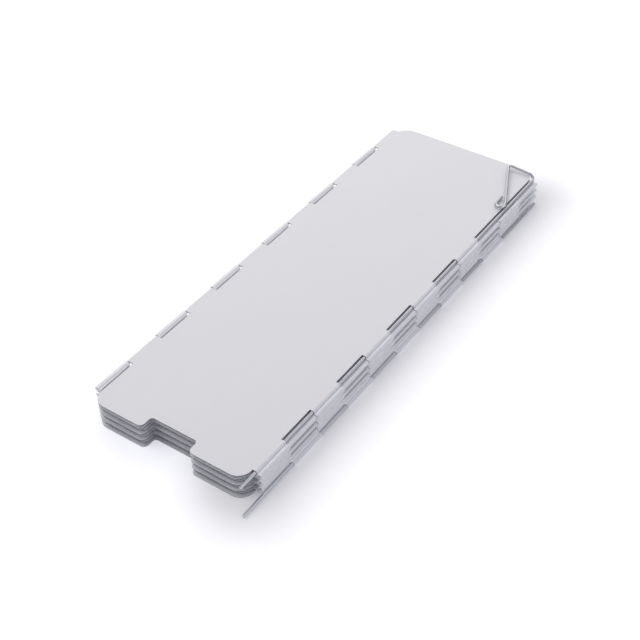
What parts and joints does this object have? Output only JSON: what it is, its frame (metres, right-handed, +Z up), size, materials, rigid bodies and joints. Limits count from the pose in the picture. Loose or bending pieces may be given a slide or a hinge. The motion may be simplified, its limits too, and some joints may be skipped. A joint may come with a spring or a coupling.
{
  "type": "folding stove windscreen",
  "caption": "Folding wind shield for a small stove: thin metal plates joined like an accordion on rolled wire hinges, folded flat, with wire stakes and a bent clip at its free edges.",
  "frame": {"origin": "middle of the hinge lines, on the table face under the bottom plate", "axes": "+X across the folded stack towards the stakes, +Y along the hinge lines away from the air inlets, +Z up through the stack"},
  "size_m": [0.0874, 0.2466, 0.0154],
  "materials": {
    "plate": "satin anodised sheet, light grey",
    "wire": "drawn wire, lightly polished"
  },
  "bodies": {
    "panel_8": {"panel_8": "plate", "hinge_wire_78": "wire"},
    "panel_7": {"panel_7": "plate", "hinge_wire_67": "wire"},
    "panel_6": {"panel_6": "plate", "hinge_wire_56": "wire"},
    "panel_5": {"panel_5": "plate", "hinge_wire_45": "wire"},
    "panel_4": {"panel_4": "plate", "hinge_wire_34": "wire"},
    "panel_3": {"panel_3": "plate", "hinge_wire_23": "wire"},
    "panel_2": {"panel_2": "plate", "hinge_wire_12": "wire"},
    "panel_1": {"panel_1": "plate"},
    "clip_stake": {"clip_stake": "wire"},
    "plain_stake": {"plain_stake": "wire"}
  },
  "joints": [
    {"name": "fold_78", "type": "hinge", "parent": "panel_8", "child": "panel_7", "pos_m": [-0.04175, 0, 0.0011], "axis": [0, -1, 0], "range_deg": [0, 136]},
    {"name": "fold_67", "type": "hinge", "parent": "panel_7", "child": "panel_6", "pos_m": [0.04175, 0, 0.0029], "axis": [0, 1, 0], "range_deg": [0, 223.1]},
    {"name": "fold_56", "type": "hinge", "parent": "panel_6", "child": "panel_5", "pos_m": [-0.04175, 0, 0.0047], "axis": [0, -1, 0], "range_deg": [0, 136]},
    {"name": "fold_45", "type": "hinge", "parent": "panel_5", "child": "panel_4", "pos_m": [0.04175, 0, 0.0065], "axis": [0, 1, 0], "range_deg": [0, 223.1]},
    {"name": "fold_34", "type": "hinge", "parent": "panel_4", "child": "panel_3", "pos_m": [-0.04175, 0, 0.0083], "axis": [0, -1, 0], "range_deg": [0, 136]},
    {"name": "fold_23", "type": "hinge", "parent": "panel_3", "child": "panel_2", "pos_m": [0.04175, 0, 0.0101], "axis": [0, 1, 0], "range_deg": [0, 223.1]},
    {"name": "fold_12", "type": "hinge", "parent": "panel_2", "child": "panel_1", "pos_m": [-0.04175, 0, 0.0119], "axis": [0, -1, 0], "range_deg": [0, 136]},
    {"name": "clip_swing", "type": "hinge", "parent": "panel_1", "child": "clip_stake", "pos_m": [0.04004, 0, 0.0119], "axis": [0, 1, 0], "range_deg": [0, 90]},
    {"name": "stake_slide", "type": "slide", "parent": "panel_8", "child": "plain_stake", "axis": [0, -1, 0], "range_m": [-0.012, 0.034]}
  ],
  "couplings": [
    {"joint": "fold_67", "follows": "fold_78", "ratio": 1.64},
    {"joint": "fold_56", "follows": "fold_78", "ratio": 1},
    {"joint": "fold_45", "follows": "fold_78", "ratio": 1.64},
    {"joint": "fold_34", "follows": "fold_78", "ratio": 1},
    {"joint": "fold_23", "follows": "fold_78", "ratio": 1.64},
    {"joint": "fold_12", "follows": "fold_78", "ratio": 1}
  ]
}
